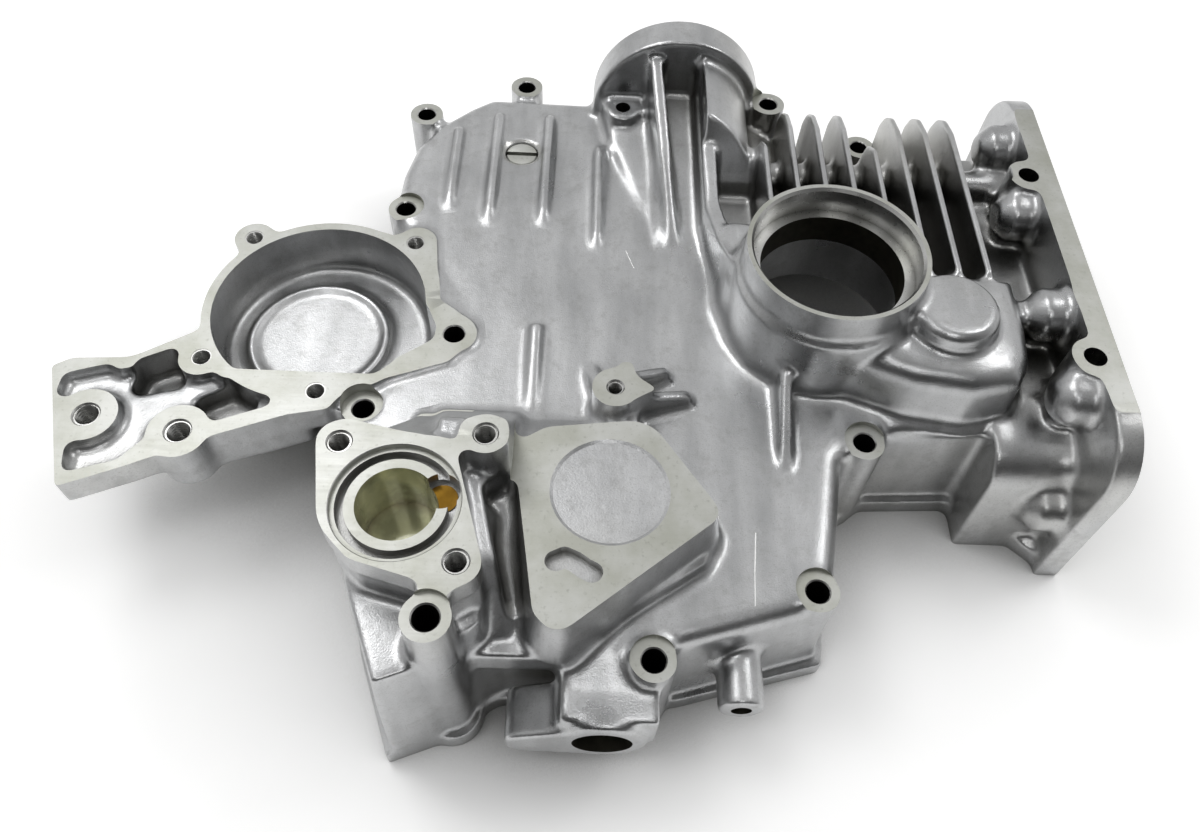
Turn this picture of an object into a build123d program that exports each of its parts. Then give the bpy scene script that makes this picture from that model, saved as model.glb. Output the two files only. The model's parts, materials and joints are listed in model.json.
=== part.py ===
"""Front gear case of a small diesel engine: one aluminium casting and the slotted plug screwed into it.

The joint face lies on Z = 0, the seal axis is the Z axis, +X points to the sump and -Y to the viewer.
All sizes are in millimetres.
"""
import os
from math import cos, radians, sin
from build123d import *

# casting in general
WALL = 5.0
DRAFT = 2.5
PLATE_Z = 60.0
PAD_Z = 61.5
EDGE_R = 8.0
LIP_Z = 9.0
PILLAR_D = 18.0

# bolts through the case
BOSS_Z = 58.0
BOSS_D = 17.0
BOLT_D = 9.0
FOOT_D = 25.0
FOOT_Z = 10.0
BOLTS = {
    "low_left": (-148.7, -160.4, 103.0),
    "low_mid": (-72.8, -155.8, BOSS_Z),
    "low_right": (-10.7, -127.3, BOSS_Z),
    "right": (16.0, -60.0, BOSS_Z),
    "pump_side": (-193.0, -51.0, BOSS_Z - 2),
    "pocket_side": (-158.4, -13.8, PAD_Z),
    "upper_left": (-190.0, 64.6, BOSS_Z),
    "top_left": (-188.3, 134.4, BOSS_Z),
    "top_mid": (-137.5, 160.0, BOSS_Z),
    "seat_side": (-11.0, 138.0, 71.0),
    "fin_side": (41.5, 134.0, 49.0),
}

# crankshaft seal
SEAL_D = 69.0
SEAL_DEPTH = 12.0
SEAL_OPEN_D = 60.0
SEAL_RIM_D = 75.0
RIM_Z = 109.0
DRUM_D = 80.0
DRUM_Z = 96.0
DRUM_ROOM_D = 68.0
ISLAND_Z = 89.5
ISLAND_ROOM_Z = 83.0
SHOULDER = [(8.0, 28), (4.0, 50), (1.5, 75)]
DOME_XY = (48.5, -18.5)
DOME_Z = 99.5
DOME_D = 35.0

# sump flange
SUMP_X = 113.7
SUMP_T = 10.0
SUMP_Z = 91.7
SUMP_Y0 = -90.0
SUMP_Y1 = 140.0
RAIL_Z = 62.5
RAIL_ROOM_Z = 57.0
SUMP_BOLTS = [(103.0, 77.0), (57.0, 77.0), (-4.0, 78.0), (-48.0, 78.0), (-73.0, 34.0)]
SUMP_TAP_D = 6.8
SUMP_TAP_DEPTH = 17.0
SUMP_EARS = [(100.7, 68.6), (103.3, -36.8)]
EAR_D = 19.0
EAR_HOLE_D = 9.4
DOME_BUMP_D = 23.0

# coolant pump chamber and bracket arm
POCKET_XY = (-219.0, -1.0)
POCKET_R = 46.5
POCKET_WALL = 4.0
POCKET_CHORD = 36.0
CHAMBER_EAR_D = 18.0
CHAMBER_TAP_DEPTH = 14.0
POCKET_FLOOR_Z = 34.0
RING_XY = (-224.0, 0.0)
RING_Z = 38.0
RING_D = 64.5
RING_IN_D = 58.0
POCKET_TAPS = [
    (POCKET_XY[0] + (POCKET_R + out) * cos(radians(a)), POCKET_XY[1] + (POCKET_R + out) * sin(radians(a)))
    for a, out in ((133.3, 7.4), (47.1, 8.2), (214.6, 7.1), (-81.9, -0.4))
]
TAP_M8 = 6.8
TAP_M10 = 8.7
ARM_TAPS = [(-301.6, -62.4), (-263.4, -68.6)]
ARM_BOSS_D = 25.0
ARM_Z0 = 48.0
ARM_KEEL_Z = 38.0
ARM_RELIEF = 6.0
ARM_DEEP_Z = 44.0
FLANGE_T = 13.5

# pump flange
PUMP_XY = (-163.4, -120.4)
PUMP_Z = 105.0
PUMP_FLANGE_T = 12.0
PUMP_RECESS_D = 44.4
PUMP_RING_D = 35.0
PUMP_BORE_D = 27.8
PUMP_FLOOR_Z = 78.0
PORT_XY = (-148.8, -115.0)
PORT_D = 13.0
PUMP_TAPS = [(-185.8, -97.8), (-140.8, -141.8)]
SIDE_TAP = (-135.4, -92.4)
SIDE_BOSS_D = 16.5
LEDGE_Z = 78.0
TAP_DEPTH = 18.0

# triangular pad and small pad
TRI_Z = 84.0
TRI_XY = (-90.4, -101.8)
TRI_RECESS_D = 43.6
SMALL_PAD_Z = 78.0
SMALL_PAD_XY = (-88.6, -50.8)
TAP_M6 = 5.0
PAD_TAP_DEPTH = 14.0

# filter seat on the far side
SEAT_XZ = (-58.5, 62.5)
SEAT_R = 43.0
SEAT_Y0, SEAT_Y1 = 137.0, 154.0
SEAT_BODY_R = 36.0
SEAT_GROOVE_D = 66.0
SEAT_HUB_D = 30.0
SEAT_STUD_D = 18.5
SWITCH_XY = (-86.3, 129.0)
SWITCH_D = 7.5
SWITCH_Z = 72.0
SWITCH_DEPTH = 8.0

# gallery tube and fins
TUBE_YZ = (88.0, 65.0)
TUBE_R = 8.0
FIN_T = 3.0
FIN_Z = 90.0
FIN_X0, FIN_PITCH = -20.0, 13.0
FIN_COUNT = 8
SHORT_FINS = (0, 4)

# ribs on the plate
RIB_Z = 65.0

# pipe stubs
PIPE_XZ = (-90.0, 33.0)
PIPE_D, PIPE_BORE = 33.0, 22.4
PIPE_Y0 = -179.0
STUB_XZ = (-37.5, 30.0)
STUB_D, STUB_BORE = 18.0, 8.0
STUB_Y0 = -164.5

# slotted plug
PLUG_XY = (-136.8, 106.0)
PLUG_D = 16.0
PLUG_L = 11.0
PLUG_SINK = 1.2
PLUG_SEAT_D = 18.4
PLUG_BOSS_D = 25.0
SLOT_W = 2.5
SLOT_DEPTH = 2.5
FIT = 0.05


def rounded(points, radius):
    """Closed outline with rounded corners; radius is one value or one per point."""
    turn = sum(a[0] * b[1] - b[0] * a[1] for a, b in zip(points, points[1:] + points[:1]))
    face = Polygon(*(points if turn > 0 else points[::-1]), align=None)
    if not isinstance(radius, (list, tuple)):
        return fillet(face.vertices(), radius) if radius else face
    for value in sorted(set(radius) - {0}):
        chosen = [p for p, r in zip(points, radius) if r == value]
        picked = [v for v in face.vertices() if any(abs(v.X - x) + abs(v.Y - y) < 1e-3 for x, y in chosen)]
        face = fillet(picked, value)
    return face


def block(points, radius, z0, z1, draft=DRAFT):
    return extrude(Pos(0, 0, z0) * rounded(points, radius), z1 - z0, taper=draft)


def post(x, y, z0, z1, d0, d1=None):
    """Upright round post, drafted when the two diameters differ."""
    d1 = d0 if d1 is None else d1
    low = (Align.CENTER, Align.CENTER, Align.MIN)
    if d0 == d1:
        return Pos(x, y, z0) * Cylinder(d0 / 2, z1 - z0, align=low)
    return Pos(x, y, z0) * Cone(d0 / 2, d1 / 2, z1 - z0, align=low)


def along(axis, a, b, start, end, d0, d1=None):
    """Round bar along X (a = y, b = z) or along Y (a = x, b = z)."""
    origin = (start, a, b) if axis == "x" else (a, start, b)
    normal = (1, 0, 0) if axis == "x" else (0, 1, 0)
    bar = post(0, 0, 0, abs(end - start), d0, d1)
    if end < start:
        normal = tuple(-n for n in normal)
    return Plane(origin=origin, z_dir=normal) * bar


def web(points, radius, x, thick):
    """Upright plate across X, its outline given in Y and Z."""
    return extrude(Plane.YZ.offset(x - thick / 2) * rounded(points, radius), thick)


def circle(x, y, d):
    return Pos(x, y) * Circle(d / 2)


CASE = [
    (-170, -179), (-187, -138), (-197, -105), (-202, -52), (-186, -36), (-169, -26), (-168, 8),
    (-182, 38), (-198, 54), (-197, 90), (-193, 110), (-183, 128), (-168, 143), (-156, 152), (-14, 150),
    (0, 107), (SUMP_X - 2, 107), (SUMP_X - 2, -80), (80, -62), (66, -56), (28, -58), (8, -71),
    (1, -112), (-3, -135), (-60, -152), (-128, -153), (-158, -168),
]
LIP = [
    (-172, -180), (-188, -140), (-200, -100), (-204, -50), (-186, -33), (-200, 54), (-199, 110), (-182, 136),
    (-158, 156), (-10, 153), (2, 130), (SUMP_X - 2, 130), (SUMP_X - 2, -89),
    (107, -88), (91, -73), (79, -63), (66, -59), (28, -61),
    (11, -74), (4, -112), (1, -138), (-60, -155), (-130, -156), (-159, -172),
]
ROOM = [
    (-166, -160), (-180, -134), (-190, -105), (-194, -66), (-180, -40), (-150, -26), (-148, -2), (-163, 20),
    (-180, 50), (-178, 74), (-189, 84), (-186, 110), (-170, 128), (-150, 145), (-24, 143), (-8, 100),
    (97, 100), (97, -64), (80, -54), (66, -48), (26, -50), (1, -66),
    (-6, -110), (-22, -116), (-24, -133), (-60, -144), (-84, -145), (-130, -146), (-140, -148),
]


def bolt_posts():
    x, y, top = BOLTS["low_left"]
    return [post(x, y, 0, FOOT_Z, FOOT_D)] + [post(x, y, 0, top, BOSS_D) for x, y, top in BOLTS.values()]


def case_walls():
    main = block(CASE, 0, 0, PLATE_Z)
    rim = main.faces().sort_by(Axis.Z)[-1].outer_wire().edges()
    main = fillet(rim, EDGE_R)
    lip = extrude(rounded(LIP, 0), LIP_Z)
    low_left = [(-170, -179), (-187, -138), (-197, -105), (-198, -90), (-150, -88), (-128, -108),
                (-130, -153), (-152, -172)]
    ledge = block(low_left, 0, 0, LEDGE_Z, 3)
    return [main, lip, ledge]


def seal_island():
    """Raised island with a rounded shoulder, and on it the drum, the seal ring and the blind dome."""
    plan = [(-43, 40), (-43, 6), (-38, -12), (-24, -31), (6, -39), (31, -48.5), (55, -52), (75, -48),
            (82, -36), (84, -18), (84, 10), (42, 13), (24, 34)]
    z = ISLAND_Z - SHOULDER[0][0]
    parts = [block(plan, 0, PLATE_Z - 4, z)]
    for step, (drop, slope) in enumerate(SHOULDER):
        end = SHOULDER[step + 1][0] if step + 1 < len(SHOULDER) else 0
        face = parts[-1].faces().sort_by(Axis.Z)[-1]
        parts.append(extrude(face, drop - end, taper=slope))
    parts.append(extrude(Pos(0, 0, PLATE_Z + 3) * rounded(plan, 0), -5, taper=-50))
    drum = post(0, 0, 50, DRUM_Z, DRUM_D)
    parts.append(chamfer(drum.edges().sort_by(Axis.Z)[-1], 3))
    parts.append(post(0, 0, DRUM_Z - 6, RIM_Z, SEAL_RIM_D))
    dome = post(*DOME_XY, ISLAND_Z - 6, DOME_Z, DOME_D + 2)
    parts.append(chamfer(dome.edges().sort_by(Axis.Z)[-1], 3))
    return parts


def sump_side():
    """Rail between the island and the sump flange, with the flange, its bolt domes and the two ears."""
    back = SUMP_X - SUMP_T
    rail = web([(-76, 0), (-72, RAIL_Z), (112, RAIL_Z), (116, 0)], [0, 20, 0, 0], 91, 43)
    outline = [(SUMP_Y0, 0), (SUMP_Y0 + 3, SUMP_Z), (SUMP_Y1, SUMP_Z), (SUMP_Y1, 0)]
    plate = web(outline, [0, 27, 27, 0], back + SUMP_T / 2, SUMP_T)
    slope = Polygon((82, 50), (86, RAIL_Z - 3), (back, 84), (back + 6, 86), (back + 6, 50), align=None)
    corner = web([(-78, 0), (-75, SUMP_Z), (-38, SUMP_Z), (-38, 0)], [0, 24, 0, 0], 97, 60)
    parts = [rail, plate, extrude(Plane.XZ.offset(40) * slope, 38) & corner]
    for y, z in SUMP_BOLTS:
        bump = along("x", y, z, SUMP_X - 2, back - 16, DOME_BUMP_D)
        parts.append(chamfer(bump.edges().sort_by(Axis.X)[0], 5.5))
    parts += [post(x, y, SUMP_Z - 24, SUMP_Z, EAR_D) for x, y in SUMP_EARS]
    return parts


def tube_and_fins():
    parts = [along("x", *TUBE_YZ, -40, SUMP_X - 4, 2 * TUBE_R)]
    parts.append(block([(-24, 40), (-24, 108), (104, 108), (104, 10), (60, 10)], 0, 40, PLATE_Z, 0))
    tall = [(99, FIN_Z), (111, 87), (119, 81), (123, 73), (126, 6), (100, 6)]
    short = [(84, FIN_Z), (94, 84), (98, 74), (100, 50)]
    for i in range(FIN_COUNT):
        x = FIN_X0 + i * FIN_PITCH
        start = 8.0 if x > 40 else 30.0
        outline = [(start, 50), (start, FIN_Z)] + (short if i in SHORT_FINS else tall)
        parts.append(web(outline, 0, x, FIN_T))
    return parts


def filter_seat():
    """Round seat for the oil filter facing away, with the ramp and the two tall ribs that carry it."""
    x, z = SEAT_XZ
    far = SEAT_Y0 + 2
    disc = along("y", x, z, SEAT_Y0, SEAT_Y1, 2 * SEAT_R)
    shell = web([(76, 40), (80, 66), (97, 99), (far, 99), (far, 40)], 0, -33, 30)
    body = along("y", x, z, 70, far, 2 * SEAT_BODY_R) & shell
    side = block([(-98, far), (-92, 112), (-77, 72), (-64, 46), (-62, far)], 0, 40, 80, 0)
    side = side & web([(44, 40), (44, PLATE_Z), (80, 61.5), (112, 65), (far, 71), (far, 40)], 0, -80, 60)
    valley = web([(40, 50), (40, PLATE_Z), (100, 69), (far, 75), (far, 50)], 0, -57, 26)
    rib_a = rib((-71.5, far), (-61, 40), 6, [(0, 98), (50, 80), (98, PLATE_Z)])
    rib_b = rib((-47, far), (-45, 52), 7, [(0, 96), (25, 87), (87, 80)])
    rib_c = rib((-45, 54), (-37, 6), 7, [(0, 80), (28, 84), (48, 92)])
    blind = post(*SWITCH_XY, 50, SWITCH_Z, 18)
    return [disc, body, side, valley, rib_a, rib_b, rib_c, blind]


def pipes():
    big = along("y", *PIPE_XZ, PIPE_Y0, -140, PIPE_D)
    x, z = PIPE_XZ
    wing = [(x, z - PIPE_D / 2), (x, z + PIPE_D / 2), (x - 36, z + 2), (x - 36, z - 13)]
    face = Plane.XZ.offset(-PIPE_Y0) * rounded(wing, [0, 0, 6, 6])
    lobe = extrude(face, -20)
    small = along("y", *STUB_XZ, STUB_Y0, -134, STUB_D)
    top = z + PIPE_D / 2
    slope = [(-145, z - 8), (-145, PLATE_Z - 0.5), (-153, PLATE_Z - 2), (-165, top + 2.5), (-176, top - 0.5),
             (-176, z - 8)]
    return [big, lobe, small, web(slope, 0, x + 2, PIPE_D + 3)]


def flank(plan, slope):
    """Sloping side: the plan outline cut off under a line that is given as (y, z) pairs."""
    low = [(slope[-1][0], 45), (slope[0][0], 45)]
    x = sum(p[0] for p in plan) / len(plan)
    return block(plan, 0, 46, PUMP_Z, 0) & web(slope + low, 0, x, 120)


def pump_body():
    """Pump flange on its body, with the side boss and the slopes that run out on the plate."""
    high, low = PUMP_Z - 1, PLATE_Z - 1
    flange = [(-195, -92), (-185, -88), (-146, -97), (-131, -146), (-141, -152), (-176, -142), (-188, -130)]
    body = [(-194, -93), (-185, -89), (-147, -97), (-133, -145), (-141, -150), (-175, -141), (-187, -129)]
    x, y = SIDE_TAP
    near = [(-176, -96), (-168, -55), (-158, -54), (-145, -96)]
    boss_side = [(-150, -100), (-160, -53), (-146, -50), (-127, -50), (-127, -98), (-138, -104)]
    return [
        block(flange, [8, 8, 6, 8, 8, 8, 20], PUMP_Z - PUMP_FLANGE_T, PUMP_Z, 0),
        block(body, 0, 40, PUMP_Z - PUMP_FLANGE_T + 1, 0),
        post(x, y, 50, PUMP_Z, SIDE_BOSS_D),
        flank(near, [(-98, high), (-93, high), (-54, low)]),
        flank(boss_side, [(-110, 80), (-101, 90), (-97, high), (y + 7, high), (-52, low)]),
        flank([(-150, -157), (-150, -50), (-104, -54), (-72, -62), (-72, -100), (-100, -157)],
              [(-157, low), (-146, PLATE_Z + 1), (-125, 67), (-92, 79), (-80, 79), (-54, low)]),
        flank([(-152, -152), (-152, -100), (-138, -100), (-124, -150)],
              [(-152, low), (-146, 66), (-130, 84), (-100, 92)]),
    ]


def pads():
    """Triangular pad on its skirt, and the small pad with its four short ribs."""
    tri = [(-127, -83), (-115, -75), (-76, -70), (-49, -110), (-108, -158), (-116, -150)]
    skirt = [(-118, -84), (-76, -68), (-46, -108), (-52, -122), (-104, -158), (-120, -150)]
    top = Pos(0, 0, TRI_Z) * rounded(tri, [5, 10, 14, 6, 7, 7])
    parts = [extrude(top, PLATE_Z - 2 - TRI_Z, taper=-9), block(skirt, 0, PLATE_Z - 5, PLATE_Z + 7, 8)]
    parts.append(post(*SMALL_PAD_XY, 50, SMALL_PAD_Z, 19))
    ear = [(-97, -53), (-94, -59), (-87, -60), (-72, -51), (-80, -45), (-82, -38), (-86, -38)]
    parts.append(block(ear, 0, 50, SMALL_PAD_Z, 0))
    for a, b in (((-84, -42), (-66, -32)), ((-80, -52), (-57, -44))):
        parts.append(finger(a, b, 5, 74, 66))
    parts.append(finger((-94, -44), (-99, -26), 6, 68, PLATE_Z))
    parts.append(finger((-84, -56), (-72, -72), 6, 70, PLATE_Z + 2))
    return parts


def rib(a, b, thick, crest):
    """Upright rib from point a to point b; crest lists (distance along it, height) pairs."""
    (ax, ay), (bx, by) = a, b
    run = ((bx - ax) ** 2 + (by - ay) ** 2) ** 0.5
    ux, uy = (bx - ax) / run, (by - ay) / run
    plane = Plane(origin=(ax, ay, 0), x_dir=(ux, uy, 0), z_dir=(uy, -ux, 0))
    side = Polygon((0, 54), (run, 54), *reversed(crest), align=None)
    return extrude(plane * side, thick / 2, both=True)


def finger(a, b, thick, z_near, z_far):
    run = ((b[0] - a[0]) ** 2 + (b[1] - a[1]) ** 2) ** 0.5
    return rib(a, b, thick, [(0, z_near), (run, z_far)])


def plate_ribs():
    """Long low ribs on the plate, highest at their far ends."""
    parts = []
    for x, y0, y1 in ((-169, 61, 122), (-149.5, 52, 134), (-123.5, 52, 134), (-97.5, 38, 112)):
        crest = [(y0, PLATE_Z - 0.5), (y0 + 12, RIB_Z - 2), (y1 - 5, RIB_Z), (y1, PLATE_Z + 1)]
        parts.append(web([(y0, 56)] + crest + [(y1, 56)], 0, x, 4.5))
    parts.append(web([(-56, 56), (-56, 61), (-8, 64.5), (-6, 56)], 0, -123, 5))
    parts.append(finger((-17, -16), (-19, -80), 5, 84, 59))
    return parts


def pocket_face():
    """Outline of the chamber flange with an ear round each tapped hole."""
    cx, cy = POCKET_XY
    face = circle(cx, cy, 2 * (POCKET_R + POCKET_WALL))
    for x, y in POCKET_TAPS:
        run = ((x - cx) ** 2 + (y - cy) ** 2) ** 0.5
        ux, uy = (x - cx) / run, (y - cy) / run
        r = CHAMBER_EAR_D / 2
        link = Polygon((cx - 20 * uy, cy + 20 * ux), (cx + 20 * uy, cy - 20 * ux), (x + r * uy, y - r * ux),
                       (x - r * uy, y + r * ux), align=None)
        face += circle(x, y, CHAMBER_EAR_D) + link
    x, y, top = BOLTS["pocket_side"]
    corner = [(-200, -45), (-160, -28), (-155, -22), (-152, -7), (-168, 4), (-173, 40), (-210, 30)]
    return face + circle(x, y, CHAMBER_EAR_D) + rounded(corner, 0)


def arm_face():
    x, y = ARM_TAPS[1]
    outline = [(-323, -39), (-316, -34.5), (-292, -33), (-266, -16), (-230, -20), (-200, -44), (-206, -55.5),
               (-222, -59), (-251, -71), (-268, -80), (-280, -86), (-303, -96)]
    return rounded(outline, [0, 0, 14, 0, 0, 0, 0, 12, 8, 8, 0, 0]) + circle(x, y, ARM_BOSS_D)


def chamber():
    """Coolant pump chamber on the left and the bracket arm that carries two threaded bosses."""
    cx, cy = POCKET_XY
    flange = extrude(Pos(0, 0, PAD_Z - FLANGE_T) * pocket_face(), FLANGE_T)
    cup = post(cx, cy, POCKET_FLOOR_Z - WALL, PAD_Z - 2, 2 * (POCKET_R + POCKET_WALL - 1))
    link = [(-190, -40), (-158, -30), (-158, 6), (-176, 36), (-196, 46), (-215, 0)]
    bridge = block(link, 0, 12, PAD_Z - 1, 0)
    arm = extrude(Pos(0, 0, ARM_Z0) * arm_face(), PAD_Z - ARM_Z0)
    deep = [(-282, -70), (-296, -50), (-295, -38), (-276, -23), (-262, -18), (-230, -20), (-210, -44),
            (-216, -57), (-251, -71)]
    keel = block(deep, 0, ARM_KEEL_Z, ARM_Z0 + 5, 0)
    return [flange, cup, bridge, arm, keel, post(*ARM_TAPS[1], ARM_KEEL_Z, PAD_Z - 1, ARM_BOSS_D - 1)]


def chamber_hollow():
    """Round room of the pump wheel, cut off by a chord, with the raised ring on its floor."""
    cx, cy = POCKET_XY
    chord = Pos(cx, cy - POCKET_CHORD - 30, 55) * Box(120, 60, 80)
    corner = extrude(Pos(0, 0, 20) * Polygon((-196, -40), (-160, -10), (-150, -50), align=None), 60)
    hollow = post(cx, cy, POCKET_FLOOR_Z, 80, 2 * POCKET_R) - chord - corner
    bay = [(-196, -30), (-180, -27), (-168, -18), (-165, -13), (-172, 2), (-200, 6)]
    hollow += block(bay, [0, 3, 3, 3, 3, 0], POCKET_FLOOR_Z + 6, 80, 0)
    ring = post(*RING_XY, POCKET_FLOOR_Z - 2, RING_Z, RING_D)
    return hollow - (ring - post(*RING_XY, RING_Z - 2, RING_Z + 1, RING_IN_D))


def arm_hollows():
    """Shallow relief in the top of the arm and two deeper pockets in it, clear of the bosses."""
    cx, cy = POCKET_XY
    relief = [(-317, -54), (-317, -42.5), (-300, -36.7), (-295, -39.5), (-289, -37.8), (-276, -26.5),
              (-266, -32), (-252, -41.5), (-237, -47), (-221, -49), (-222, -54), (-230, -55), (-251, -64),
              (-262, -74), (-275, -72.5), (-280, -78.5), (-283, -83), (-303, -90), (-305.5, -76),
              (-296, -68), (-296, -56)]
    pockets = [
        (relief, PAD_Z - ARM_RELIEF),
        ([(-291, -45), (-289, -34), (-276.5, -27.5), (-268, -36), (-270, -43), (-287, -48)], ARM_DEEP_Z),
        ([(-265, -50), (-248, -40), (-231, -45), (-232, -50), (-242, -54.5), (-255, -60)], ARM_DEEP_Z),
    ]
    solid = circle(*ARM_TAPS[0], ARM_BOSS_D) + circle(*ARM_TAPS[1], ARM_BOSS_D)
    solid += circle(*POCKET_TAPS[2], CHAMBER_EAR_D + 1) + circle(cx, cy, 2 * (POCKET_R + POCKET_WALL))
    cuts = []
    for outline, floor in pockets:
        faces = (rounded(outline, 0) - solid).faces()
        cuts += [extrude(Pos(0, 0, floor) * face, 25) for face in faces if face.area > 30]
    return cuts


def room_cuts():
    """Hollow behind the plate, open at the joint face and through the sump flange."""
    cuts = [block(ROOM, 0, -1, PLATE_Z - WALL, 0), post(0, 0, 20, ISLAND_ROOM_Z, DRUM_ROOM_D)]
    island = [(-4, -33), (28, -43), (54, -46), (70, -43), (77, -33), (78, -18), (78, 5), (30, 6)]
    cuts.append(block(island, 0, 40, ISLAND_ROOM_Z, 0))
    cuts.append(web([(-64, -1), (-64, RAIL_ROOM_Z), (100, RAIL_ROOM_Z), (100, -1)], 0, 116, 44))
    pump = [(-172, -160), (-181, -136), (-188, -106), (-188, -97), (-150, -97), (-136, -112), (-138, -146)]
    cuts.append(block(pump, 0, 30, PUMP_FLOOR_Z - 7, 0))
    tri = [(-118, -86), (-110, -82), (-82, -77), (-58, -108), (-104, -146), (-110, -142)]
    cuts.append(block(tri, 0, 40, TRI_Z - WALL - 1, 0))
    x, z = SEAT_XZ
    seat = along("y", x, z, 98, SEAT_Y0 - WALL, 2 * (SEAT_BODY_R - WALL - 1))
    cuts.append(seat & web([(90, 20), (90, 120), (140, 120), (140, 20)], 0, x + 32, 22))
    return cuts


def inner_posts():
    """Bolt columns and the plug boss left standing in the hollow."""
    columns = [BOLTS[name] for name in ("pocket_side", "low_left", "low_mid")]
    posts = [post(x, y, -2, PLATE_Z - 4, PILLAR_D) for x, y, top in columns]
    return posts + [post(*PLUG_XY, PLATE_Z - 14, PLATE_Z - 1, PLUG_BOSS_D)]


def upright_holes():
    """Every hole whose axis stands upright, with flat faces cut for the bolt heads."""
    cuts = [post(0, 0, RIM_Z - SEAL_DEPTH, RIM_Z + 1, SEAL_D), post(0, 0, 60, RIM_Z, SEAL_OPEN_D)]
    for x, y, top in BOLTS.values():
        cuts += [post(x, y, -1, top + 1, BOLT_D), post(x, y, top, top + 8, BOSS_D + 0.6)]
    cuts += [post(x, y, PAD_Z - CHAMBER_TAP_DEPTH, PAD_Z + 1, TAP_M8) for x, y in POCKET_TAPS]
    cuts += [post(x, y, 30, PAD_Z + 1, TAP_M10) for x, y in ARM_TAPS]
    cuts += [post(x, y, PUMP_Z - TAP_DEPTH, PUMP_Z + 1, TAP_M8) for x, y in PUMP_TAPS + [SIDE_TAP]]
    cuts.append(post(*SMALL_PAD_XY, SMALL_PAD_Z - PAD_TAP_DEPTH, SMALL_PAD_Z + 1, TAP_M6))
    cuts.append(post(*SWITCH_XY, SWITCH_Z - SWITCH_DEPTH, SWITCH_Z + 1, SWITCH_D))
    cuts += [post(x, y, RAIL_ROOM_Z - 2, SUMP_Z + 1, EAR_HOLE_D) for x, y in SUMP_EARS]
    cuts.append(post(*PLUG_XY, PLATE_Z - 1, PLATE_Z + 6, PLUG_SEAT_D))
    cuts.append(post(*PLUG_XY, 40, PLATE_Z + 1, PLUG_D))
    return cuts


def pump_cuts():
    """Recess, bore, ring groove and oil port of the pump flange."""
    groove = post(*PUMP_XY, PUMP_Z - 8, PUMP_Z - 1, PUMP_RECESS_D - 3.4)
    return [
        post(*PUMP_XY, PUMP_Z - 2, PUMP_Z + 1, PUMP_RECESS_D),
        post(*PUMP_XY, PUMP_FLOOR_Z, PUMP_Z, PUMP_BORE_D),
        groove - post(*PUMP_XY, PUMP_Z - 9, PUMP_Z, PUMP_RING_D),
        post(*PORT_XY, PUMP_Z - 14, PUMP_Z - 1, PORT_D),
    ]


def pad_cuts():
    slot = [(-113, -131), (-107, -125), (-91, -131), (-92, -139), (-102, -139)]
    return [post(*TRI_XY, TRI_Z - 0.8, TRI_Z + 1, TRI_RECESS_D),
            block(slot, [3, 4, 3, 3, 3], TRI_Z - 4, TRI_Z + 1, 0)]


def side_holes():
    """Holes in the sump flange, the two pipe stubs and the filter seat."""
    cuts = [along("x", y, z, SUMP_X + 1, SUMP_X - SUMP_TAP_DEPTH, SUMP_TAP_D) for y, z in SUMP_BOLTS]
    cuts.append(along("y", *PIPE_XZ, PIPE_Y0 - 1, -138, PIPE_BORE))
    cuts.append(along("y", *STUB_XZ, STUB_Y0 - 1, -130, STUB_BORE))
    groove = along("y", *SEAT_XZ, SEAT_Y1 - 5, SEAT_Y1 + 1, SEAT_GROOVE_D)
    cuts.append(groove - along("y", *SEAT_XZ, SEAT_Y1 - 6, SEAT_Y1 + 2, SEAT_HUB_D))
    cuts.append(along("y", *SEAT_XZ, 120, SEAT_Y1 + 1, SEAT_STUD_D))
    return cuts


def gear_case():
    body = case_walls() + bolt_posts() + seal_island() + sump_side() + tube_and_fins() + filter_seat()
    body += pipes() + pump_body() + pads() + plate_ribs() + chamber()
    solid = body[0].fuse(*body[1:])
    room = room_cuts()
    hollow = room[0].fuse(*room[1:]) - inner_posts()
    solid = solid - hollow
    solid = solid - ([chamber_hollow()] + arm_hollows())
    return solid - (upright_holes() + pump_cuts() + pad_cuts() + side_holes())


def screw_plug():
    top = PLATE_Z - PLUG_SINK
    plug = post(*PLUG_XY, top - PLUG_L, top, PLUG_D - 2 * FIT)
    plug = chamfer(plug.edges().sort_by(Axis.Z)[-1], 0.6)
    slot = Pos(*PLUG_XY, top) * Box(PLUG_D + 2, SLOT_W, 2 * SLOT_DEPTH)
    return plug - slot


os.makedirs("parts", exist_ok=True)
export_step(gear_case(), "parts/gear_case.step")
export_step(screw_plug(), "parts/screw_plug.step")
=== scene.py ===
"""Studio view of the cast gear case: soft cast surfaces, crisp machined faces, threads and oil."""
import json
import math
import bpy
import bmesh
import numpy as np
from mathutils import Matrix, Vector


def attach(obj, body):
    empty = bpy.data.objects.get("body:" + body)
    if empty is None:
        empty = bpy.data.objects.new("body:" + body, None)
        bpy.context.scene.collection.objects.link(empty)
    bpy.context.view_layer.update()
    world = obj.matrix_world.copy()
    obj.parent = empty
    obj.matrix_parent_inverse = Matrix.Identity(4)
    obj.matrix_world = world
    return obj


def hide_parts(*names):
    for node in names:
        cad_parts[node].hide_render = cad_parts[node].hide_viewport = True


MM = 0.001

# camera, solved from the photo, in the row frame
CAMERA_AT = (-102.65, -274.46, 390.0)
CAMERA_RIGHT = (0.99908, 0.0190, 0.0385)
CAMERA_UP = (-0.03722, 0.83027, 0.55612)
FOCAL_SHARE = 958.6 / 1200.0

# cast surface: remesh size and fillet radius in millimetres, smoothing steps, triangles before the cuts,
# stock on machined faces, steps of weight in the soft zones, angle that stays sharp
VOXEL = 0.8
FILLET = 2.3
CAST_SMOOTH = 6
SOFT_SMOOTH = 40
CASE_TRIANGLES = 164000
STOCK = 3.5
SOFT_LEVELS = 10
SHARP_ANGLE = 32

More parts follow.
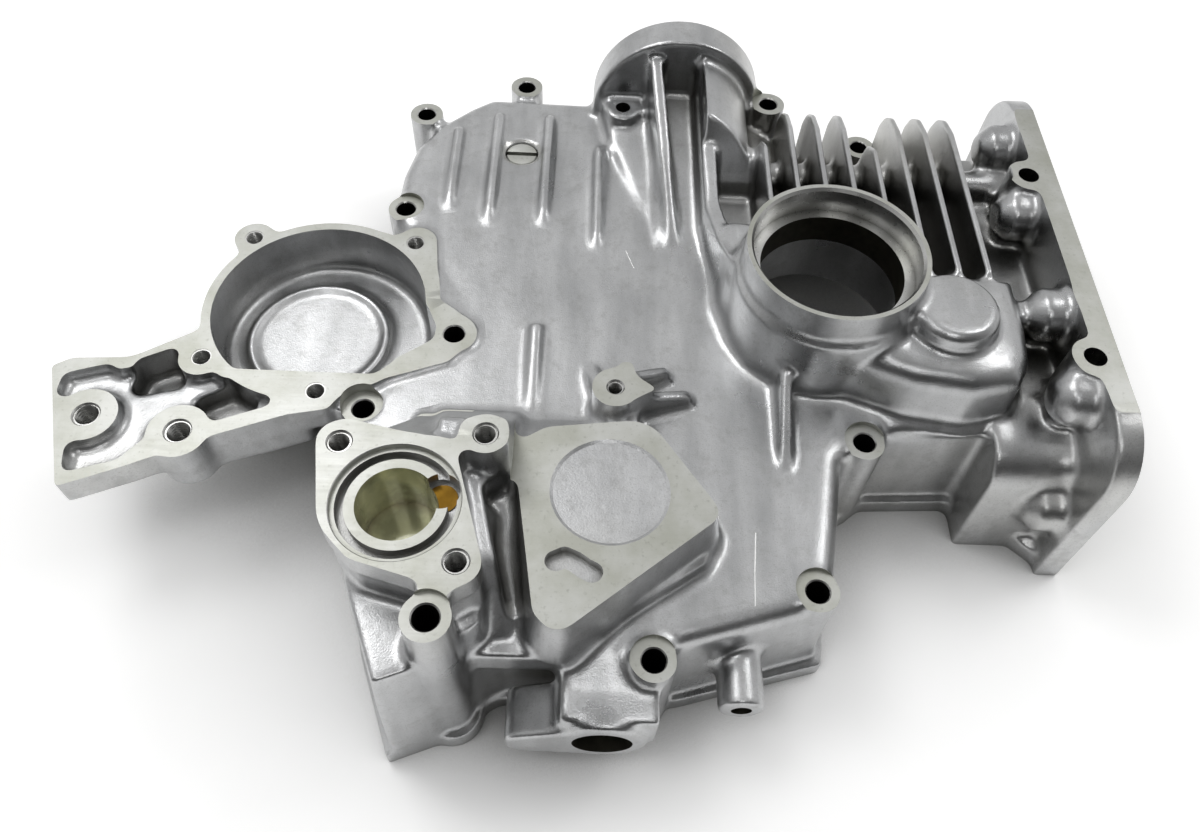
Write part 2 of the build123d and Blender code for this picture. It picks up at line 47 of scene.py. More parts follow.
# places where the casting has wide fillets: centre and radius
SOFT_ZONES = [
    (-130, -125, 70, 28), (-150, -75, 72, 26), (-120, -66, 66, 22), (-86, -68, 66, 16),
    (-84, 100, 66, 26), (-60, 70, 66, 26), (-44, 0, 64, 22), (-30, -30, 64, 22), (0, -46, 64, 22),
    (40, -56, 62, 20), (84, -44, 70, 28), (92, 30, 62, 22), (92, 85, 66, 20), (-90, -158, 52, 24),
    (-150, -165, 30, 18), (-250, -60, 44, 16), (30, -46, 88, 20), (58, -50, 86, 22), (80, -40, 84, 22),
    (-32, 112, 80, 24), (100, -60, 50, 26), (-60, -140, 58, 20), (-20, -118, 58, 20), (-94, -171, 48, 16),
]

# screw threads: crest radius, root radius and pitch of each size, then facets per turn, rows per pitch
# and the wall of the sleeve
THREADS = [(2.5, 3.05, 1.0), (3.4, 4.05, 1.25), (4.35, 5.05, 1.5)]
THREAD_SIDES, THREAD_ROWS, SLEEVE_WALL = 24, 4, 0.5

# flange bosses: radius of the stock on top and of the spot face, then the chamfer of the hole
BOSS_STOCK_R, SPOT_FACE_R, BOLT_CHAMFER = 8.45, 8.9, 1.0

# distance from the stated point to the mouth of the two pipe bores
TO_MOUTH = {"pipe_bore": 20.0, "stub_bore": 10.0}

# pump flange, as in the part: recess, bore, ring channel and oil port with a dark brown rim round it
PUMP_AT = (-163.4, -120.4)
PUMP_TOP = 105.0
PUMP_FLOOR = 78.0
PUMP_RECESS_R, PUMP_BORE_R = 22.2, 13.9
CHANNEL_R = (17.5, 20.5)
PORT_AT, PORT_R, PORT_DARK_RIM_R = (-148.8, -115.0), 6.6, (5.4, 6.8)

# seal ring, as in the part: top, ledge and the lowest point of the hub opening
SEAL_TOP, SEAL_LEDGE, HUB_FLOOR = 109.0, 97.0, 80.0
SEAL_R, HUB_R = 34.5, 30.0

# triangular pad with its recess and bent slot, and the slotted plug, as in the part
TRI_AT, TRI_TOP = (-90.4, -101.8), 84.0
RECESS_R, RECESS_RIM_R, RECESS_DEPTH = 21.0, 23.4, 0.8
KIDNEY = [(-109.0, -130.5), (-106.0, -129.0), (-102.5, -130.5), (-99.0, -133.0), (-95.5, -134.8)]
KIDNEY_R, KIDNEY_DEPTH = 4.0, 4.0
PLUG_AT, PLATE_TOP = (-136.8, 106.0), 60.0
PLUG_HOLE_R, PLUG_SEAT_R, PLUG_RIM_R = 8.0, 8.7, 10.6
PLUG_CHAMFER = 0.4

# scores on the plate (from, to, width), then punch marks
SCORES = [((-33.0, -104.5), (-34.5, -121.0), 0.45), ((-34.5, -121.0), (-35.5, -138.0), 0.35),
          ((-80.0, 30.0), (-84.0, 41.0), 0.3)]
PUNCHES = [(-59.6, -76.7), (-47.5, -98.6)]

# light: strength of the room in front and behind, and where along Y it changes from one to the other
ROOM_FRONT = 0.05
ROOM_BACK = 0.72
ROOM_SPAN = (-0.95, 0.4)

# table: extra white seen by camera and glossy rays, how far the painted shade from the part reaches, half
# its width in metres
TABLE_GLOW = 0.32
TABLE_REACH = 0.12
TABLE_HALF = 4

# samples of each ambient occlusion node that paints shade into hollows
HOLLOW_SAMPLES = 6

# soft boxes: name, azimuth, elevation, width, height in metres, radiance
LAMP_CENTRE, LAMP_DISTANCE = (-0.1, 0, 0.04), 1.3
LAMPS = [
    ("left_lamp", -50, 58, 0.55, 0.45, 4.3),
    ("right_lamp", 68, 50, 0.36, 0.32, 4.4),
    ("side_lamp", -128, 62, 0.34, 0.30, 3.2),
    ("front_lamp", 172, 54, 0.42, 0.30, 3.2),
]

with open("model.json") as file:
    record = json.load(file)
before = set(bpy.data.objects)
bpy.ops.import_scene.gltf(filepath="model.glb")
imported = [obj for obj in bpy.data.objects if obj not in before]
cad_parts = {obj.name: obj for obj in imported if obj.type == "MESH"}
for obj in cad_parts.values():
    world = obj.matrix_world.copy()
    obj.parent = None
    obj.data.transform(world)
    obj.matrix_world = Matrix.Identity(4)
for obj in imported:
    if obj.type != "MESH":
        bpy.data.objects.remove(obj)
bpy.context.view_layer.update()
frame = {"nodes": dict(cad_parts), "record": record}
CASE = frame["nodes"]["gear_case"]

UP, DOWN, EAST, NORTH = (0, 0, 1), (0, 0, -1), (1, 0, 0), (0, 1, 0)

# machined faces: outward direction, distance along it, and the box of the plan that each one is cut in
MACHINED = [
    (UP, 61.5, (-330, -84, -146, 56)),
    (UP, 61.5, (-330, -100, -236, -84)),
    (UP, 105.0, (-200, -158, -126, -80)),
    (UP, 84.0, (-127, -162, -44, -69)),
    (UP, 78.0, (-99, -62, -71, -36)),
    (UP, 109.0, (-40, -40, 40, 40)),
    (UP, 91.7, (92, -100, 116, 146)),
    (DOWN, 0.0, (-210, -185, 120, 175)),
    (EAST, 113.7, (108, -110, 120, 160)),
    (NORTH, 154.0, (-110, 150, 0, 160)),
]


def material(name, base, rough, metallic=1.0):
    mat = bpy.data.materials.new(name)
    mat.use_nodes = True
    shader = mat.node_tree.nodes["Principled BSDF"]
    shader.inputs["Base Color"].default_value = (*base, 1)
    shader.inputs["Metallic"].default_value = metallic
    shader.inputs["Roughness"].default_value = rough
    return mat


class Nodes:
    """Short calls for building one material's nodes."""

    def __init__(self, mat):
        self.tree = mat.node_tree
        self.shader = self.tree.nodes["Principled BSDF"]
        self.place = self.tree.nodes.new("ShaderNodeTexCoord").outputs["Object"]

    def link(self, value, socket):
        if isinstance(value, bpy.types.NodeSocket):
            self.tree.links.new(value, socket)
        else:
            socket.default_value = value

    def stretch(self, scale, rotation=(0, 0, 0)):
        node = self.tree.nodes.new("ShaderNodeMapping")
        node.inputs["Scale"].default_value = scale
        node.inputs["Rotation"].default_value = rotation
        self.link(self.place, node.inputs["Vector"])
        return node.outputs["Vector"]

    def noise(self, scale, detail=3, vector=None, roughness=0.5):
        node = self.tree.nodes.new("ShaderNodeTexNoise")
        node.inputs["Scale"].default_value = scale
        node.inputs["Detail"].default_value = detail
        node.inputs["Roughness"].default_value = roughness
        self.link(vector or self.place, node.inputs["Vector"])
        return node.outputs["Fac"]

    def span(self, value, low, high, to_low, to_high):
        node = self.tree.nodes.new("ShaderNodeMapRange")
        names = ("Value", "From Min", "From Max", "To Min", "To Max")
        for name, v in zip(names, (value, low, high, to_low, to_high)):
            self.link(v, node.inputs[name])
        return node.outputs["Result"]

    def math(self, operation, a, b=0.0):
        node = self.tree.nodes.new("ShaderNodeMath")
        node.operation = operation
        self.link(a, node.inputs[0])
        self.link(b, node.inputs[1])
        return node.outputs[0]

    def mix(self, factor, a, b):
        node = self.tree.nodes.new("ShaderNodeMix")
        node.data_type = "RGBA"
        self.link(factor, node.inputs[0])
        self.link((*a, 1) if isinstance(a, tuple) else a, node.inputs[6])
        self.link((*b, 1) if isinstance(b, tuple) else b, node.inputs[7])
        return node.outputs[2]

    def relief(self, height, strength, distance, normal=None):
        node = self.tree.nodes.new("ShaderNodeBump")
        node.inputs["Strength"].default_value = strength
        node.inputs["Distance"].default_value = distance
        self.link(height, node.inputs["Height"])
        if normal:
            self.link(normal, node.inputs["Normal"])
        self.link(node.outputs["Normal"], self.shader.inputs["Normal"])
        return node.outputs["Normal"]

    def hollows(self, distance):
        """Ambient occlusion, 0 in corners and 1 on open faces, used to paint shade."""
        node = self.tree.nodes.new("ShaderNodeAmbientOcclusion")
        node.samples = HOLLOW_SAMPLES
        node.inputs["Distance"].default_value = distance
        return node.outputs["AO"]


def cast_material():
    """As die cast: sparkling grain, cloudy tone and dark flecks, with painted shade, dark brown-grey, in the
    hollows.
    """
    mat = material("cast_metal", (0.5, 0.5, 0.5), 0.33)
    n = Nodes(mat)
    grain = n.noise(1700, 2)
    orange = n.noise(330, 3)
    n.relief(orange, 0.12, 0.0005, n.relief(grain, 0.36, 0.0002))
    cloud = n.noise(16, 6, roughness=0.65)
    streak = n.noise(30, 4, n.stretch((3.0, 0.6, 1.0)))
    fleck = n.noise(1500, 2)
    tone = n.span(n.math("ADD", cloud, streak), 0.7, 1.3, 0.0, 1.0)
    base = n.mix(tone, (0.39, 0.395, 0.40), (0.61, 0.615, 0.62))
    base = n.mix(n.span(n.noise(7, 5), 0.55, 0.75, 0.0, 0.35), base, (0.48, 0.46, 0.38))
    base = n.mix(n.span(n.noise(130, 5, roughness=0.7), 0.50, 0.72, 0.0, 0.55), base, (0.34, 0.34, 0.335))
    base = n.mix(n.span(fleck, 0.55, 0.72, 0.0, 0.45), base, (0.30, 0.30, 0.29))
    # painted shade: dark brown-grey in hollows within 45 mm, then in fine corners within 5 mm
    base = n.mix(n.span(n.hollows(0.045), 0.04, 0.50, 0.95, 0.0), base, (0.10, 0.095, 0.08))
    base = n.mix(n.span(n.hollows(0.005), 0.25, 0.85, 0.55, 0.0), base, (0.12, 0.118, 0.105))
    n.link(base, n.shader.inputs["Base Color"])
    n.link(n.span(cloud, 0.3, 0.7, 0.25, 0.38), n.shader.inputs["Roughness"])
    return mat


def faced_material():
    """Machined flat: faint cutter marks, a greenish film, dark specks and painted shade in its corners."""
    mat = material("faced_metal", (0.6, 0.6, 0.57), 0.34)
    n = Nodes(mat)
    marks = n.noise(260, 2, n.stretch((0.25, 6.0, 1.0), (0, 0, 0.5)))
    blot = n.noise(45, 5, roughness=0.6)
    n.relief(marks, 0.05, 0.0003, n.relief(n.noise(1500, 2), 0.12, 0.0002))
    base = n.mix(n.span(blot, 0.35, 0.65, 0.0, 1.0), (0.42, 0.425, 0.38), (0.54, 0.545, 0.52))
    base = n.mix(n.span(n.noise(600, 3), 0.60, 0.75, 0.0, 0.4), base, (0.25, 0.25, 0.22))
    # painted shade: darker in corners within 4 mm
    base = n.mix(n.span(n.hollows(0.004), 0.3, 0.9, 0.5, 0.0), base, (0.12, 0.12, 0.10))
    n.link(base, n.shader.inputs["Base Color"])
    n.link(n.span(marks, 0.3, 0.7, 0.42, 0.48), n.shader.inputs["Roughness"])
    return mat


def bored_material(name, reach):
    """Turned or drilled: brighter, with fine marks, and painted shade where walls stand within reach."""
    mat = material(name, (0.62, 0.62, 0.61), 0.26)
    n = Nodes(mat)
    marks = n.noise(700, 2)
    n.relief(marks, 0.015, 0.0001)
    base = n.mix(n.span(n.noise(60, 4), 0.35, 0.65, 0.0, 1.0), (0.46, 0.46, 0.44), (0.60, 0.60, 0.59))
    # painted shade: near black where walls stand within reach
    base = n.mix(n.span(n.hollows(reach), 0.1, 0.8, 0.90, 0.0), base, (0.05, 0.048, 0.04))
    n.link(base, n.shader.inputs["Base Color"])
    n.link(n.span(marks, 0.3, 0.7, 0.27, 0.31), n.shader.inputs["Roughness"])
    return mat


def oily_material(name, tint, rough, metallic, coat):
    """Metal under a film of old oil, with painted shade in its corners."""
    mat = material(name, tint, rough, metallic)
    n = Nodes(mat)
    smear = n.noise(70, 4)
    dark = tuple(0.5 * c for c in tint)
    base = n.mix(n.span(smear, 0.40, 0.60, 0.0, 1.0), dark, tint)
    # painted shade: dark brown in corners within 6 mm
    base = n.mix(n.span(n.hollows(0.006), 0.2, 0.8, 0.8, 0.0), base, (0.10, 0.055, 0.015))
    n.link(base, n.shader.inputs["Base Color"])
    n.shader.inputs["Coat Weight"].default_value = coat
    n.shader.inputs["Coat Roughness"].default_value = 0.03
    n.relief(smear, 0.05, 0.002)
    return mat


def deep_shade_material():
    """Inner wall of a deep pipe and of the hub opening, painted black as the shade in them."""
    mat = material("deep_shade_metal", (0.04, 0.04, 0.035), 0.6)
    n = Nodes(mat)
    n.link(n.mix(n.noise(200, 4), (0.015, 0.015, 0.012), (0.07, 0.065, 0.05)), n.shader.inputs["Base Color"])
    return mat


FACED = faced_material()
# one drilled and turned finish in two copies that differ only in how far their painted shade reaches, 30 mm
# and 6 mm
BORED_SHADED_30MM = bored_material("bored_metal_shaded_30mm", 0.03)
TURNED_SHADED_6MM = bored_material("turned_metal_shaded_6mm", 0.006)
WET = oily_material("oily_metal", (0.66, 0.66, 0.42), 0.25, 0.5, 0.8)
POOL = oily_material("oil_pool", (0.24, 0.13, 0.018), 0.32, 1.0, 0.0)
# dark brown ring wall round the oil in the port
PORT_DARK_RIM = oily_material("oil_port_dark_rim", (0.09, 0.035, 0.008), 0.3, 0.6, 0.1)
DEEP_SHADE_BLACK = deep_shade_material()
BRIGHT = material("bright_metal", (0.95, 0.95, 0.94), 0.35)


def mesh_object(name, verts, faces):
    """New object; points in metres."""
    mesh = bpy.data.meshes.new(name)
    mesh.from_pydata(verts, [], faces)
    obj = bpy.data.objects.new(name, mesh)
    bpy.context.scene.collection.objects.link(obj)
    return obj


def rim(at, axis, height, radii):
    """Points round an axis at one height, one for each radius, in metres."""
    z = Vector(axis).normalized()
    x = z.orthogonal().normalized()
    y = z.cross(x)
    points = []
    for i, r in enumerate(radii):
        a = 2 * math.pi * i / len(radii)
        points.append((Vector(at) + height * z + r * (math.cos(a) * x + math.sin(a) * y)) * MM)
    return points


def cylinder(at, axis, r, length, sides=64, r_end=None):
    """Cylinder or cone from a point along an axis, in millimetres."""
    r_end = r if r_end is None else r_end
    verts = rim(at, axis, 0.0, [r] * sides) + rim(at, axis, length, [r_end] * sides)
    faces = [tuple(reversed(range(sides))), tuple(range(sides, 2 * sides))]
    faces += [(i, (i + 1) % sides, sides + (i + 1) % sides, sides + i) for i in range(sides)]
    return mesh_object("tool", verts, faces)


def ring(at, axis, r_in, r_out, length, sides=96):
    """Round channel cutter."""
    outer = cylinder(at, axis, r_out, length, sides)
    inner = cylinder(Vector(at) - Vector(axis), axis, r_in, length + 2, sides)
    return combine(outer, [inner], "DIFFERENCE")


def box(x0, y0, z0, x1, y1, z1):
    """Box between two corners, in millimetres."""
    corners = ((x0, y0), (x1, y0), (x1, y1), (x0, y1))
    verts = [Vector((x, y, z)) * MM for z in (z0, z1) for x, y in corners]
    faces = [(3, 2, 1, 0), (4, 5, 6, 7), (0, 1, 5, 4), (1, 2, 6, 5), (2, 3, 7, 6), (3, 0, 4, 7)]
    return mesh_object("tool", verts, faces)


def painted(mat, tools):
    """Gives cutters the finish that they leave behind."""
    for t in tools:
        t.data.materials.append(mat)
    return tools


def drop(obj):
    """Deletes an object and its mesh."""
    mesh = obj.data
    bpy.data.objects.remove(obj)
    bpy.data.meshes.remove(mesh)


def bake(obj, kind, **settings):
    """Applies one modifier."""
    mod = obj.modifiers.new("step", kind)
    for key, value in settings.items():
        setattr(mod, key, value)
    graph = bpy.context.evaluated_depsgraph_get()
    done = bpy.data.meshes.new_from_object(obj.evaluated_get(graph))
    obj.modifiers.clear()
    old = obj.data
    obj.data = done
    bpy.data.meshes.remove(old)
    return obj


def combine(obj, tools, operation):
    """One Boolean with all the tools, which are used up."""
    group = bpy.data.collections.new("tools")
    for t in tools:
        group.objects.link(t)
    bake(obj, "BOOLEAN", operand_type="COLLECTION", collection=group, operation=operation, solver="MANIFOLD",
         material_mode="TRANSFER")
    for t in tools:
        drop(t)
    bpy.data.collections.remove(group)
    return obj


def copy_welded(source, name):
    """Copy of a CAD mesh with its split points joined."""
    obj = mesh_object(name, [], [])
    bm = bmesh.new()
    bm.from_mesh(source.data)
    bmesh.ops.remove_doubles(bm, verts=bm.verts, dist=1e-6)
    bm.to_mesh(obj.data)
    bm.free()
    return obj


def face_stock(source, axis, along, area):
    """The machined faces at one place, grown outwards, so that the cast walls run on past the cut."""
    axis = Vector(axis)
    x0, y0, x1, y1 = (v * MM for v in area)
    bm = bmesh.new()
    bm.from_mesh(source.data)
    keep = set()
    for f in bm.faces:
        c = f.calc_center_median()
        level = f.normal.dot(axis) > 0.99 and abs(c.dot(axis) - along * MM) < 3e-5
        if level and x0 < c.x < x1 and y0 < c.y < y1:
            keep.add(f)
    bmesh.ops.delete(bm, geom=[f for f in bm.faces if f not in keep], context="FACES")
    for v in bm.verts:
        v.co -= axis * 0.5 * MM
    grown = bmesh.ops.extrude_face_region(bm, geom=list(bm.faces), use_keep_orig=True)
    for v in grown["geom"]:
        if isinstance(v, bmesh.types.BMVert):
            v.co += axis * STOCK * MM
    bmesh.ops.recalc_face_normals(bm, faces=bm.faces)
    obj = mesh_object("stock", [], [])
    bm.to_mesh(obj.data)
    bm.free()
    return obj


def slab(axis, along, area):
    """Cutter that takes the stock off one machined face."""
    x0, y0, x1, y1 = area
    far = along + STOCK + 2
    if axis == UP:
        return box(x0, y0, along, x1, y1, far)
    if axis == DOWN:
        return box(x0, y0, -far, x1, y1, -along)
    if axis == EAST:
        return box(along, y0, -5, far, y1, 120)
    return box(x0, along, -5, x1, far, 120)


def round_mounts():
    """(name, kind, middle point, outward axis, radius, length) of each hole, in millimetres."""
    rows = []
    for m in frame["record"]["mounts"]:
        if m["kind"] in ("bore", "threaded_hole"):
            at = Vector(m["pos_m"]) / MM
            axis = Vector(m["axis"])
            length = m["dims"]["length_mm"]
            if m["name"] in TO_MOUTH:
                at += axis * (TO_MOUTH[m["name"]] - length / 2)
            rows.append((m["name"], m["kind"], at, axis, m["dims"]["r_mm"], length))
    return rows


HOLES = round_mounts()


def cast_body():
    """The casting as it leaves the die: no holes, stock on the machined faces, every edge soft.

    Growing and shrinking the remeshed body by the fillet radius fills its inner corners.
    """
    body = copy_welded(CASE, "cast_case")
    extra = [face_stock(body, *row) for row in MACHINED]
    for name, kind, at, axis, r, length in HOLES:
        if r < 12 and not name.startswith("ear_"):
            extra.append(cylinder(at - axis * (length / 2 - 0.6), axis, r + 0.8, length - 0.7, 24))
    for name, kind, at, axis, r, length in HOLES:
        if name.startswith("bolt_"):
            extra.append(cylinder((at.x, at.y, length - 1), UP, BOSS_STOCK_R, STOCK, 40))
    extra.append(cylinder((*TRI_AT, TRI_TOP - 2), UP, 23, STOCK + 1.5, 48))
    extra.append(box(-115, -141, TRI_TOP - 5, -89, -123, TRI_TOP + STOCK - 0.5))
    extra.append(cylinder((*PUMP_AT, 78.5), UP, 23, PUMP_TOP - 78.5 + STOCK - 1, 48))
    extra.append(cylinder((0, 0, 84.6), UP, 36, SEAL_TOP - 84.6 + STOCK - 1, 64))
    combine(body, extra, "UNION")
    for offset in (0.0, FILLET, -FILLET):
        if offset:
            bake(body, "DISPLACE", strength=offset * MM, mid_level=0.0, direction="NORMAL")
        bake(body, "REMESH", mode="VOXEL", voxel_size=VOXEL * MM, adaptivity=0.0)
        bake(body, "SMOOTH", factor=0.5, iterations=CAST_SMOOTH)
    soften(body)
    count = len(body.data.polygons) * 2
    bake(body, "DECIMATE", decimate_type="COLLAPSE", ratio=CASE_TRIANGLES / count)
    return body


def soften(body):
    """Extra smoothing in the zones with wide fillets."""
    group = body.vertex_groups.new(name="soft")
    count = len(body.data.vertices)
    flat = np.empty(count * 3)
    body.data.vertices.foreach_get("co", flat)
    co = flat.reshape(-1, 3) / MM
    weight = np.zeros(count)
    for x, y, z, r in SOFT_ZONES:
        far = np.linalg.norm(co - (x, y, z), axis=1) / r
        weight = np.maximum(weight, np.clip(2.0 - 2.0 * far, 0, 1))
    for level in range(1, SOFT_LEVELS + 1):
        chosen = np.nonzero(np.ceil(weight * SOFT_LEVELS) == level)[0]
        group.add(chosen.tolist(), level / SOFT_LEVELS, "REPLACE")
    bake(body, "SMOOTH", factor=0.5, iterations=SOFT_SMOOTH, vertex_group="soft")
    body.vertex_groups.clear()


def thread(at, axis, length, crest, root, pitch):
    """Threaded sleeve let into the wall of a hole."""
    base = Vector(at) - Vector(axis).normalized() * length
    sides, rows = THREAD_SIDES, int(length / pitch * THREAD_ROWS)
    verts = []
    for j in range(rows + 1):
        h = length * j / rows
        phases = [(h / pitch - i / sides) % 1.0 for i in range(sides)]
        verts += rim(base, axis, h, [crest + (root - crest) * (1 - abs(2 * p - 1)) for p in phases])
    n = len(verts)
    for h in (0, length):
        verts += rim(base, axis, h, [root + SLEEVE_WALL] * sides)
    top = rows * sides
    faces = []
    for i in range(sides):
        k = (i + 1) % sides
        for j in range(rows):
            faces.append((j * sides + k, j * sides + i, (j + 1) * sides + i, (j + 1) * sides + k))
        faces.append((n + i, n + k, n + sides + k, n + sides + i))
        faces.append((i, k, n + k, n + i))
        faces.append((top + k, top + i, n + sides + i, n + sides + k))
    return mesh_object("tool", verts, faces)


def machine(body):
    """Cuts the flat faces, the bores and the threaded holes into the raw casting."""
    cuts = painted(FACED, [slab(*row) for row in MACHINED])
    bores, threads = [], []
    for name, kind, at, axis, r, length in HOLES:
        mouth = at + axis * length / 2
        if name.startswith("bolt_"):
            mouth = Vector((at.x, at.y, length))
            bores.append(cylinder(mouth - axis * (length + 3), axis, r, length + 6))
            cuts += painted(FACED, [cylinder(mouth, axis, SPOT_FACE_R, 9)])
            bores.append(cylinder(mouth - axis * 0.5, axis, r, 1.0, r_end=r + BOLT_CHAMFER))
        elif name in ("seal_bore", "hub_opening", "pump_bore"):
            continue
        elif kind == "threaded_hole" and name != "seat_hole":
            crest, root, pitch = min(THREADS, key=lambda t: abs(t[0] - r))
            sink = mouth - axis * 0.9
            drill = cylinder(mouth - axis * (length - 0.5), axis, root + 0.2, length + 3, 48)
            cuts += painted(TURNED_SHADED_6MM, [drill, cylinder(sink, axis, root - 0.1, 1.8, r_end=root + 1.5)])
            threads.append(thread(sink, axis, length - 2, crest, root, pitch))
        elif name in TO_MOUTH:
            # the pipe bores are painted black as the shade inside them
            cuts += painted(DEEP_SHADE_BLACK, [cylinder(mouth - axis * (length + 0.5), axis, r, length + 6)])
        else:
            bores.append(cylinder(mouth - axis * (length + 0.5), axis, r, length + 6))
    cuts += painted(BORED_SHADED_30MM, bores) + seal_cutters()
    cuts += pump_cutters() + pad_cutters() + plug_cutters() + scratches()
    combine(body, cuts, "DIFFERENCE")
    combine(body, painted(TURNED_SHADED_6MM, threads), "UNION")


def seal_cutters():
    """Bright seal bore down to its ledge, then the opening for the hub, painted black as shade."""
    bore = cylinder((0, 0, SEAL_LEDGE), UP, SEAL_R, 20, 128)
    chamfer = cylinder((0, 0, SEAL_TOP - 1.4), UP, SEAL_R - 0.1, 1.5, 128, r_end=SEAL_R + 1.1)
    hub = cylinder((0, 0, HUB_FLOOR), UP, HUB_R, 20, 128)
    return painted(TURNED_SHADED_6MM, [bore, chamfer]) + painted(DEEP_SHADE_BLACK, [hub])


def pump_cutters():
    """Recess, bore and channel of the pump flange; what stands in oil is painted so."""
    flat = [cylinder((*PUMP_AT, PUMP_TOP - 2), UP, PUMP_RECESS_R, 9, 96),
            ring((*PUMP_AT, PUMP_TOP - 4), UP, *CHANNEL_R, 5)]
    wall = [cylinder((*PUMP_AT, PUMP_TOP - 0.4), UP, PUMP_RECESS_R - 0.1, 1, 96, r_end=PUMP_RECESS_R + 0.9)]
    wet = [cylinder((*PUMP_AT, PUMP_FLOOR), UP, PUMP_BORE_R, 30, 96),
           ring((*PUMP_AT, PUMP_TOP - 6), UP, *CHANNEL_R, 2.2)]
    pool = [cylinder((*PORT_AT, PUMP_TOP - 7.5), UP, PORT_R, 6.5)]
    port_dark_rim = [ring((*PORT_AT, PUMP_TOP - 8), UP, *PORT_DARK_RIM_R, 7)]
    finishes = ((FACED, flat), (BORED_SHADED_30MM, wall), (WET, wet), (POOL, pool), (PORT_DARK_RIM, port_dark_rim))
    return [tool for mat, tools in finishes for tool in painted(mat, tools)]


def pad_cutters():
    """Shallow round recess and bent slot, both left as cast, in the triangular pad."""
    bottom = (*TRI_AT, TRI_TOP - RECESS_DEPTH)
    tools = [cylinder(bottom, UP, RECESS_R, 2 * RECESS_DEPTH, 96, r_end=RECESS_RIM_R)]
    for (x0, y0), (x1, y1) in zip(KIDNEY, KIDNEY[1:]):
        for t in (0, 0.25, 0.5, 0.75):
            at = (x0 + t * (x1 - x0), y0 + t * (y1 - y0), TRI_TOP - KIDNEY_DEPTH)
            tools.append(cylinder(at, UP, KIDNEY_R, 9, 40))
    return tools


def plug_cutters():
    """Seat and hole of the slotted plug."""
    seat = cylinder((*PLUG_AT, PLATE_TOP - 1), UP, PLUG_SEAT_R, 1.4, 64, r_end=PLUG_RIM_R)
    return painted(BORED_SHADED_30MM, [seat, cylinder((*PLUG_AT, 40), UP, PLUG_HOLE_R, 30, 64)])


def scratches():
    """Thin bright scores and small punch marks on the plate."""
    tools = []
    for start, end, width in SCORES:
        a, b = Vector(start), Vector(end)
        run = b - a
        tool = box(0, -width / 2, PLATE_TOP - 0.15, run.length, width / 2, PLATE_TOP + 3)
        heading = math.atan2(run.y, run.x)
        tool.data.transform(Matrix.Translation((a.x * MM, a.y * MM, 0)) @ Matrix.Rotation(heading, 4, "Z"))
        tools.append(tool)
    tools += [cylinder((*p, PLATE_TOP - 0.7), UP, 0.4, 3, 12, r_end=1.6) for p in PUNCHES]
    return painted(BRIGHT, tools)


def drop_slivers(body):
    """Joins points that lie within 3 microns and deletes the folded pairs of faces that this leaves."""
    bm = bmesh.new()
    bm.from_mesh(body.data)
    bmesh.ops.remove_doubles(bm, verts=bm.verts, dist=0.003 * MM)
    bmesh.ops.triangulate(bm, faces=bm.faces)
    same = {}
    for f in bm.faces:
        same.setdefault(frozenset(v.index for v in f.verts), []).append(f)
    folded = [f for group in same.values() if len(group) > 1 for f in group]
    bmesh.ops.delete(bm, geom=folded, context="FACES")
    loose = [v for v in bm.verts if not v.link_faces]
    bmesh.ops.delete(bm, geom=loose, context="VERTS")
    bm.to_mesh(body.data)
    bm.free()


def shade(piece):
    """Smooth shading with sharp edges kept."""
    piece.data.shade_smooth()
    piece.data.set_sharp_from_angle(angle=math.radians(SHARP_ANGLE))


case = cast_body()
case.data.materials.clear()
case.data.materials.append(cast_material())
machine(case)
drop_slivers(case)
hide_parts("gear_case")
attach(case, "root")
shade(case)

plug = copy_welded(frame["nodes"]["screw_plug"], "slotted_plug")
bake(plug, "BEVEL", width=PLUG_CHAMFER * MM, segments=3, limit_method="ANGLE", angle_limit=math.radians(40))
plug.data.materials.clear()
plug.data.materials.append(FACED)
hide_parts("screw_plug")
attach(plug, "root")
shade(plug)


def floor_material():
    """White table with a faint cloudy tone, painted shade making it near black within the part, glowing
    where it lies open.
    """
    mat = material("table_white", (1.0, 1.0, 1.0), 0.7, 0.0)
    n = Nodes(mat)
    cloud = n.noise(3, 2)
    base = n.mix(cloud, (0.97, 0.97, 0.96), (1.0, 1.0, 1.0))
    clear = n.hollows(TABLE_REACH)
    # painted shade: near black where the part encloses the table
    base = n.mix(n.span(clear, 0.05, 0.60, 1.0, 0.0), base, (0.06, 0.06, 0.052))
    n.link(base, n.shader.inputs["Base Color"])
    path = n.tree.nodes.new("ShaderNodeLightPath").outputs
    seen = n.math("MAXIMUM", path["Is Camera Ray"], path["Is Glossy Ray"])
    n.shader.inputs["Emission Color"].default_value = (1, 1, 1, 1)
    # the glow fades near the part as well, which also paints its shade
    glow = n.span(clear, 0.45, 1.0, 0.0, TABLE_GLOW)
    n.link(n.math("MULTIPLY", glow, seen), n.shader.inputs["Emission Strength"])
    return mat


corners = [(x * TABLE_HALF, y * TABLE_HALF, 0) for x, y in ((-1, -1), (1, -1), (1, 1), (-1, 1))]
floor = mesh_object("table_top", corners, [(0, 1, 2, 3)])
floor.data.materials.append(floor_material())


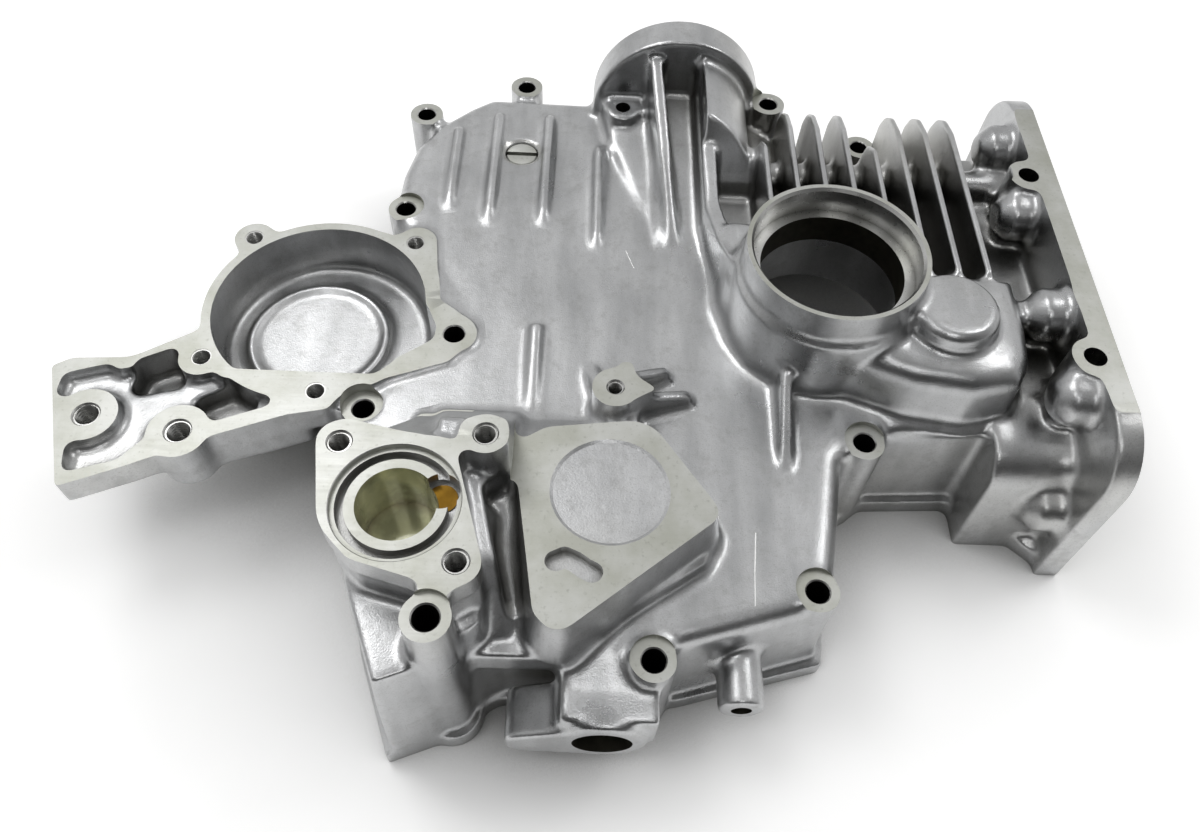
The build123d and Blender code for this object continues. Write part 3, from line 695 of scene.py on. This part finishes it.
def sky():
    """Room light, brighter behind the part than on the camera's side."""
    world = bpy.data.worlds.new("room")
    bpy.context.scene.world = world
    world.use_nodes = True
    nodes, links = world.node_tree.nodes, world.node_tree.links
    back = nodes["Background"]
    back.inputs["Color"].default_value = (1, 1, 1, 1)
    coords = nodes.new("ShaderNodeTexCoord")
    split = nodes.new("ShaderNodeSeparateXYZ")
    links.new(coords.outputs["Generated"], split.inputs[0])
    tone = nodes.new("ShaderNodeMapRange")
    tone.interpolation_type = "SMOOTHSTEP"
    tone.inputs["From Min"].default_value, tone.inputs["From Max"].default_value = ROOM_SPAN
    tone.inputs["To Min"].default_value = ROOM_FRONT
    tone.inputs["To Max"].default_value = ROOM_BACK
    links.new(split.outputs["Y"], tone.inputs["Value"])
    links.new(tone.outputs["Result"], back.inputs["Strength"])


def lamp(name, azimuth, elevation, width, height, radiance):
    """Soft box; azimuth runs from +Y to +X, and radiance is what it looks like in a mirror."""
    a, e = math.radians(azimuth), math.radians(elevation)
    toward = Vector((math.sin(a) * math.cos(e), math.cos(a) * math.cos(e), math.sin(e)))
    light = bpy.data.lights.new(name, "AREA")
    light.shape = "RECTANGLE"
    light.size, light.size_y = width, height
    light.energy = radiance * math.pi * width * height
    obj = bpy.data.objects.new(name, light)
    obj.location = Vector(LAMP_CENTRE) + toward * LAMP_DISTANCE
    obj.rotation_euler = toward.to_track_quat("Z", "Y").to_euler()
    bpy.context.scene.collection.objects.link(obj)


sky()
for row in LAMPS:
    lamp(*row)

camera = bpy.data.cameras.new("photo_camera")
camera.sensor_width = 36.0
camera.lens = 36.0 * FOCAL_SHARE
camera.clip_start, camera.clip_end = 0.01, 20
cam = bpy.data.objects.new("photo_camera", camera)
right, up = Vector(CAMERA_RIGHT).normalized(), Vector(CAMERA_UP).normalized()
back = right.cross(up).normalized()
up = back.cross(right)
place = Matrix((right, up, back)).transposed().to_4x4()
place.translation = Vector(CAMERA_AT) * MM
cam.matrix_world = place
bpy.context.scene.collection.objects.link(cam)
bpy.context.scene.camera = cam
bpy.context.scene.view_settings.view_transform = "Standard"
